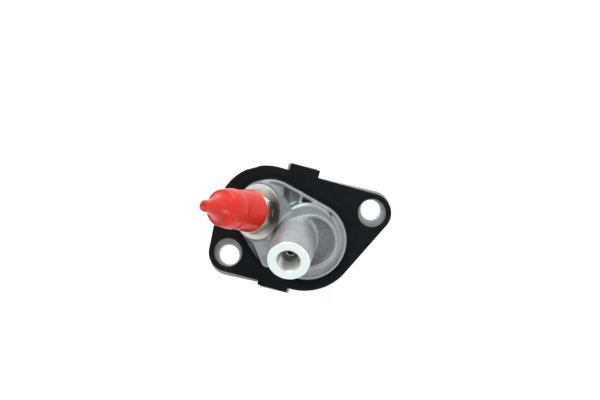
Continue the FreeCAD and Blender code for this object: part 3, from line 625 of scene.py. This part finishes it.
def cast_and_shade_zone(x, y, z, main_hull, foot_hull, out_port):
    """1 deep in the pocket and the dish, 0.4 at most in the foot's hollow, and 0 on the other faces: where the
    skin is rough as cast and is darkened as painted shade.
    """
    in_pocket = fade(-(main_hull + 2.4), 0.8) * fade(10.2 - z, 1.2)
    in_pocket = in_pocket * fade(out_port - 9.5, 2.0)
    in_dish = fade(9.8 - from_bore(x, y), 0.8) * fade(26.9 - z, 0.8)
    in_dish = in_dish * fade(out_port - 9.9, 0.8) * fade(z - 22.0, 1.0)
    in_foot = fade(-foot_hull - 2.6, 1.0) * fade(FOOT_FLOOR - z, 0.8) * 0.4
    return np.maximum(np.maximum(in_pocket, in_dish), in_foot)


def casting_field(x, y, z):
    """The casting above the flange's back face, and how far each point is left rough from the mould and
    darkened as painted shade.
    """
    main_hull = swept_circle(x, y, *RIM_CIRCLES)
    foot_hull = outline(x, y, FOOT_CIRCLES)
    rim_hull = smooth_union(main_hull, foot_hull, 1.0)
    along_bleed, out_bleed = about(BLEED, x, y, z)
    along_port, out_port = about(PORT, x, y, z)

    body = flange_field(x, y, z, main_hull, foot_hull, rim_hull)
    mound = np.minimum(swept_circle(x, y, TOWER_CIRCLE, (-5.2, 3.2, 8.3)),
                       swept_circle(x, y, TOWER_CIRCLE, (3.3, 0.4, 11.95)))
    body = smooth_union(body, layer(mound, z, BASE, 12.5, 0.6), 0.5)
    body = smooth_union(body, tower_field(x, y, z), 1.8)
    rib = layer(turned_box(x, y, 5.0, 14.6, 62.0, 3.4, 0.8), z, 1.0, 10.8, 0.5)
    body = smooth_union(body, np.maximum(rib, rim_hull + 0.5), 1.0)
    body = smooth_union(body, bleed_column(x, y, z, rim_hull, along_bleed), 2.2)
    body = smooth_union(body, bleed_sleeve(along_bleed, out_bleed), 2.0)
    web = layer(swept_circle(x, y, (-5.0, 1.5, 6.0), (-11.0, 5.5, 5.0)), z, BASE, 21.0, 2.5)
    body = smooth_union(body, np.maximum(web, along_bleed + 0.8), 4.0)
    body = smooth_union(body, port_boss(x, y, along_port, out_port), 2.6)
    body = drilled(body, x, y, z, (along_port, out_port), (along_bleed, out_bleed))
    return body, cast_and_shade_zone(x, y, z, main_hull, foot_hull, out_port)


def make_casting():
    low, high, voxel = (-43.0, -29.5, -0.9), (43.0, 34.5, 46.5), 0.45
    # rough is the zone of rough cast skin, which the material also darkens as painted shade in the recesses.
    field, rough = casting_field(*grid(low, high, voxel))
    verts, quads = skin_mesh(np.asarray(field, np.float32), low, voxel)
    piece = add_piece("cast_body", verts, quads.tolist(), "cast_aluminium", "housing", "cast_aluminium",
                      replaces=("cylinder_housing",), crease=50)
    amount = at_points(rough, (verts - np.array(low)) / voxel)
    attribute = piece.data.attributes.new("cast_and_shade", "FLOAT", "POINT")
    attribute.data.foreach_set("value", amount.astype(np.float32))


def make_plate():
    """The black cover plate, with the rebate round its opening."""
    low, high, voxel = (-43.5, -31.0, -0.6), (43.5, 33.0, 3.6), 0.3
    thick, rebate_wide, rebate_deep, clearance_rad = 3.0, 1.2, 0.3, 6.25
    x, y, z = grid(low, high, voxel)
    opening = outline(x, y, OPENING_CIRCLES)
    plate = layer(flange_outline(x, y, PLATE_CIRCLES), z, 0.0, thick, 0.35)
    plate = smooth_cut(plate, opening, 0.35)
    plate = smooth_cut(plate, np.maximum(opening - rebate_wide, thick - rebate_deep - z), 0.3)
    for sign in (-1, 1):
        plate = smooth_cut(plate, np.hypot(x - sign * BOLT_X, y) - clearance_rad, 0.4)
    verts, quads = skin_mesh(np.asarray(plate, np.float32), low, voxel)
    place = Matrix.Translation((0, 0, FLANGE_TOP * MM)) @ Matrix.Rotation(math.radians(-2.27), 4, "Z")
    add_piece("cover_plate", verts, quads.tolist(), "black_plate", "housing", "black_plate", place,
              replaces=("flange_plate",), crease=50)


make_casting()
make_plate()

# ---------------------------------------------------------------- machined faces of the casting
turned("port_face_ring",
       [(5.45, -0.9), (8.55, -0.9), (8.80, -0.62, 0.1), (8.80, -0.22, 0.15), (8.58, 0.0, 0.12),
        (5.25, 0.0, 0.1), (5.1, -0.2)],
       "port_face", "housing", "cast_aluminium", PORT, 128)
THREAD_RAD, THREAD_DEPTH, THREAD_TOP, THREAD_BOTTOM = 4.45, 0.52, -0.35, -7.7
CHAMFER_RAD, CHAMFER_BOTTOM = 5.2, -0.8


def thread(r, z, theta):
    """A 1 mm pitch thread in the port's wall, with a 45 degree chamfer at its mouth."""
    turn = np.mod(z - theta / (2 * math.pi), 1.0)
    groove = np.clip(1.15 - np.abs(2 * turn - 1) * 1.6, 0, 1)
    threaded = (np.abs(r - THREAD_RAD) < 0.05) & (z > THREAD_BOTTOM - 0.02) & (z < THREAD_TOP + 0.01)
    cut = np.where(threaded, THREAD_DEPTH * groove, 0.0)
    chamfer = np.where((z > CHAMFER_BOTTOM) & (r < CHAMFER_RAD + 0.1), CHAMFER_RAD + z, 0.0)
    return np.maximum(r + cut, chamfer), z


thread_wall = [(THREAD_RAD, z) for z in np.linspace(THREAD_TOP, THREAD_BOTTOM, 60)]


turned("port_thread_sleeve",
       [(5.42, -8.15), (5.42, -0.3), (5.30, -0.12), (5.12, -0.12)] + thread_wall
       + [(4.60, -8.0), (3.9, -8.0), (3.9, -8.15)],
       "port_thread", "housing", "cast_aluminium", PORT, 128, shape=thread, crease=40)
turned("port_seat_rings",
       [(1.5, -9.5), (1.5, -8.8), (1.75, -8.25), (2.15, -8.02, 0.1), (2.35, -8.4), (2.7, -8.45),
        (2.95, -8.05, 0.1), (3.15, -8.4), (3.4, -8.4), (3.6, -8.05, 0.1), (3.9, -8.12), (3.95, -8.4),
        (3.95, -9.5)],
       "seat_steel", "housing", "seat_steel", PORT, 96, replaces=("port_seat",))
turned("spot_face_ring",
       [(6.02, -0.7), (11.6, -0.7), (11.9, -0.45, 0.15), (11.9, -0.22, 0.18), (11.68, 0.0, 0.18),
        (6.3, 0.0, 0.1), (6.02, -0.25)],
       "spot_face", "housing", "cast_aluminium", BLEED, 128)
turned("cast_barrel",
       [(BORE_RAD, 1.0), (16.3, 1.0), (16.5, 0.0), (16.5, -2.5), (16.0, -3.0, 0.2), (14.6, -3.0, 0.5),
        (13.8, -3.9, 0.5), (13.8, -35.3, 0.2), (12.6, -35.5, 0.3), (12.6, -38.5, 0.3), (13.2, -38.6, 0.1),
        (13.2, -40.5, 0.2), (12.7, -41.0, 0.1), (9.9, -41.0), (BORE_RAD, -40.6)],
       "turned_aluminium", "housing", "cast_aluminium", BORE, 128, replaces=("cylinder_barrel",))


# ---------------------------------------------------------------- bleeder
def hexagon(flats, low, high, turn=0.0):
    """Turns a round section into a hexagon between two heights, with its top corners chamfered."""
    def shape(r, z, theta):
        edge = flats / 2 / np.cos(np.mod(theta - math.radians(turn), math.pi / 3) - math.pi / 6)
        edge = np.minimum(edge, flats / 2 + (high - z) * 1.6)
        return np.where((r > flats / 2 + 0.05) & (z >= low) & (z <= high), np.minimum(r, edge), r), z
    return shape


# Rows of points up each hexagon's side, closer together near its ends.
adaptor_side = [(9.9, z) for z in (0.02, 0.3, 2.0, 3.2, 3.5, 3.8, 4.0, 4.2)]
screw_side = [(5.3, z) for z in (9.4, 9.6, 9.8, 11.5, 13.4, 13.6, 13.8, 14.0)]
turned("adaptor_body",
       [(4.05, 8.3), (4.05, -7.0), (1.2, -9.8), (1.2, -11.9), (5.5, -11.9, 0.3), (5.95, -11.4, 0.2),
        (5.95, -0.1)]
       + adaptor_side
       + [(7.2, 4.25), (7.0, 4.5), (7.0, 8.3, 0.3), (6.7, 8.6, 0.2), (4.4, 8.6)],
       "zinc_steel", "housing", "zinc_steel", BLEED, 240, shape=hexagon(17.0, 0.0, 4.21, 9.0), crease=25,
       replaces=("bleeder_adaptor",))
turned("bleed_screw_body",
       [(0.85, -10.1), (3.95, -7.0), (3.95, 5.35), (2.9, 5.45), (2.9, 7.25), (3.95, 7.35), (3.95, 9.3),
        (4.3, 9.35)]
       + screw_side
       + [(4.2, 14.05), (2.95, 14.6, 0.4), (2.9, 17.4, 0.2), (3.4, 17.6, 0.15), (2.75, 21.2, 0.3),
          (2.3, 21.5, 0.15), (1.15, 21.5), (0.9, 21.2), (0.9, -2.0)],
       "zinc_steel", "bleed_screw", "zinc_steel", BLEED, 120, closed=False, shape=hexagon(9.0, 9.3, 14.01),
       crease=28, replaces=("bleed_screw",))
turned("rubber_cap",
       [(0.45, 35.1), (0.95, 35.7, 0.2), (1.3, 36.0, 0.2), (1.95, 35.95, 0.3), (2.4, 35.3, 0.4),
        (2.42, 34.2, 0.5), (2.62, 33.0, 0.8), (3.3, 30.6, 1.1), (4.1, 28.3, 1.0), (5.0, 26.6, 0.8),
        (5.8, 25.7, 0.4), (6.2, 25.1, 0.3), (7.1, 25.1, 0.3), (7.62, 24.75, 0.3), (7.62, 24.15, 0.1),
        (7.4, 24.0, 0.08), (7.4, 23.8, 0.08), (7.7, 23.6, 0.2), (8.25, 21.2, 1.3), (8.52, 18.2, 1.4),
        (8.35, 16.3, 0.6), (7.95, 15.4, 0.15), (8.2, 14.3, 0.5), (8.6, 11.0, 1.5), (8.93, 7.6, 1.2),
        (9.1, 5.4, 0.5), (8.95, 4.65, 0.3), (8.6, 4.3, 0.15), (7.1, 4.3), (7.02, 4.6), (7.02, 19.2, 0.5),
        (4.8, 19.8, 0.4), (4.8, 24.0, 0.5), (0.5, 24.4)],
       "red_rubber", "cap", "red_rubber", BLEED, 112, closed=False, replaces=("bleeder_cap",), crease=60)

# ---------------------------------------------------------------- boot and clamp
turned("boot_cuff",
       [(12.65, -35.6), (13.9, -35.6, 0.3), (14.2, -36.0, 0.2), (14.2, -41.0, 0.4), (13.4, -42.0),
        (12.4, -42.0), (12.4, -41.1), (13.23, -41.0), (13.23, -38.45), (12.65, -38.4)],
       "black_rubber", "housing", "black_rubber", BORE, 112, replaces=("dust_boot",))


def fold_section(top, bottom, folds, big, small, wall, depth):
    """The wavy wall of a bellows, down the outside and back up the inside, with crests from big to small."""
    outer = []
    run = (top - bottom) / folds
    samples = 14 * folds
    for share in np.linspace(0, 1, samples + 1):
        z = top - share * (top - bottom)
        crest = big + (small - big) * share
        wave = 0.5 - 0.5 * math.cos(2 * math.pi * (top - z) / run)
        outer.append((crest - depth * (1 - wave ** 0.8), z))
    inner = [(r - wall, z) for r, z in reversed(outer)]
    return outer + inner


folds = fold_section(top=-41.3, bottom=-63.0, folds=5, big=13.6, small=10.4, wall=0.8, depth=2.6)
bellows = turned("boot_bellows", folds, "black_rubber", "housing", "black_rubber", BORE, 112, crease=70)
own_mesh(bellows)
neck = turned("boot_neck",
              [(8.0, -62.7), (7.9, -63.6, 0.5), (6.7, -65.1, 0.8), (5.5, -66.8, 0.8), (5.3, -68.3, 0.3),
               (4.3, -68.3), (4.5, -66.9, 0.5), (5.8, -65.0, 0.8), (7.0, -63.4, 0.4), (7.1, -62.7)],
              "black_rubber", None, "black_rubber", BORE, 80, ride=False)
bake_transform(neck)
turned("boot_ring",
       [(3.33, -68.1), (5.2, -68.1, 0.3), (5.6, -68.6, 0.3), (5.6, -70.5, 0.3), (5.2, -70.9, 0.3),
        (3.33, -70.9)],
       "black_rubber", "pushrod", "black_rubber", BORE, 80)
turned("clamp_band",
       [(14.22, -36.2), (14.85, -36.2, 0.2), (15.0, -36.4, 0.15), (15.0, -37.6, 0.15), (14.85, -37.8, 0.2),
        (14.22, -37.8)],
       "spring_steel", "housing", "spring_steel", BORE, 128, replaces=("boot_clamp",))


# ---------------------------------------------------------------- spring
def make_spring():
    """A compression spring whose first and last coils lie nearly level."""
    coils, around, per_coil = 7.5, 10, 30
    count = int(coils * per_coil) + 1
    low, high, radius, wire = -10.9, 19.4, 6.8, 0.6
    verts = []
    for i in range(count):
        share = i / (count - 1)
        climb = np.interp(share, [0, 0.11, 0.89, 1], [0, 0.035, 0.965, 1])
        angle = 2 * math.pi * coils * share
        out = Vector((math.cos(angle), math.sin(angle), 0))
        centre = out * radius + Vector((BORE_X, BORE_Y, low + (high - low) * climb))
        for j in range(around):
            turn = 2 * math.pi * j / around
            offset = out * (wire * math.cos(turn)) + Vector((0, 0, wire * math.sin(turn)))
            verts.append(tuple(centre + offset))
    faces = [tuple(range(around))]
    for i in range(count - 1):
        for j in range(around):
            k = (j + 1) % around
            faces.append((i * around + j, i * around + k, (i + 1) * around + k, (i + 1) * around + j))
    faces.append(tuple((count - 1) * around + j for j in reversed(range(around))))
    spring = add_piece("spring_coil", verts, faces, "spring_steel", "housing", "spring_steel",
                       replaces=("preload_spring",))
    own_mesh(spring)


make_spring()

# ---------------------------------------------------------------- floor, light, camera
floor_z, floor_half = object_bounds()[0].z, 3
corners = [(floor_half * x, floor_half * y, floor_z) for x, y in ((-1, -1), (1, -1), (1, 1), (-1, 1))]
floor_mesh = bpy.data.meshes.new("floor")
floor_mesh.from_pydata(corners, [], [(0, 1, 2, 3)])
floor = bpy.data.objects.new("floor", floor_mesh)
bpy.context.scene.collection.objects.link(floor)
pale = Look("floor_white", rough=0.9, specular=0.1)
pale.colour(pale.blend(pale.range(pale.noise(4, 2), 0.3, 0.7, 0, 1), (0.93, 0.93, 0.93), (0.95, 0.95, 0.95)))
floor_mesh.materials.append(pale.mat)


def strength_range(nodes, low, high, at_low, at_high):
    """A node that turns low to high into a light strength of at_low to at_high."""
    node = nodes.new("ShaderNodeMapRange")
    for i, number in enumerate((low, high, at_low, at_high), start=1):
        node.inputs[i].default_value = number
    return node


def make_world():
    """A bright tent, dimmer straight overhead and a little brighter on the far side."""
    world = bpy.data.worlds.new("studio")
    bpy.context.scene.world = world
    world.use_nodes = True
    nodes, link = world.node_tree.nodes, world.node_tree.links.new
    way = nodes.new("ShaderNodeTexCoord").outputs["Generated"]
    height = nodes.new("ShaderNodeSeparateXYZ")
    link(way, height.inputs[0])
    dim = strength_range(nodes, 0.78, 0.97, 1.18, 0.56)
    dim.interpolation_type = "SMOOTHSTEP"
    link(height.outputs["Z"], dim.inputs[0])
    side = nodes.new("ShaderNodeVectorMath")
    side.operation = "DOT_PRODUCT"
    side.inputs[1].default_value = UP_PICTURE * 0.9 - RIGHT_PICTURE * 0.3
    link(way, side.inputs[0])
    lean = strength_range(nodes, -1.0, 1.0, 0.72, 1.25)
    link(side.outputs["Value"], lean.inputs[0])
    product = nodes.new("ShaderNodeMath")
    product.operation = "MULTIPLY"
    link(dim.outputs[0], product.inputs[0])
    link(lean.outputs[0], product.inputs[1])
    background = nodes["Background"]
    background.inputs["Color"].default_value = (1.0, 1.0, 1.0, 1)
    link(product.outputs[0], background.inputs["Strength"])


def area_light(name, where, size, energy):
    """A round lamp that points at the part's origin."""
    data = bpy.data.lights.new(name, "AREA")
    data.shape = "DISK"
    data.size = size
    data.energy = energy
    lamp = bpy.data.objects.new(name, data)
    bpy.context.scene.collection.objects.link(lamp)
    lamp.location = where
    lamp.rotation_euler = (-Vector(where)).to_track_quat("-Z", "Y").to_euler()


make_world()
area_light("key", UP_PICTURE * 0.62 - RIGHT_PICTURE * 0.2 + Vector((0, 0, 0.52)), 0.5, 3.2)
area_light("fill", -UP_PICTURE * 0.45 + RIGHT_PICTURE * 0.5 + Vector((0, 0, 0.6)), 0.5, 1.7)

cam_data = bpy.data.cameras.new("camera")
cam_data.lens = 60
cam_data.sensor_width = 36
cam_data.clip_start = 0.01
camera = bpy.data.objects.new("camera", cam_data)
bpy.context.scene.collection.objects.link(camera)
CAMERA_SHIFT, CAMERA_HEIGHT = 14.43 * MM, 451 * MM
picture_turn = Matrix((RIGHT_PICTURE, UP_PICTURE, Vector((0, 0, 1)))).transposed().to_4x4()
camera_place = UP_PICTURE * CAMERA_SHIFT + Vector((0, 0, CAMERA_HEIGHT))
camera.matrix_world = Matrix.Translation(camera_place) @ picture_turn
bpy.context.scene.camera = camera
bpy.context.scene.view_settings.view_transform = "Standard"
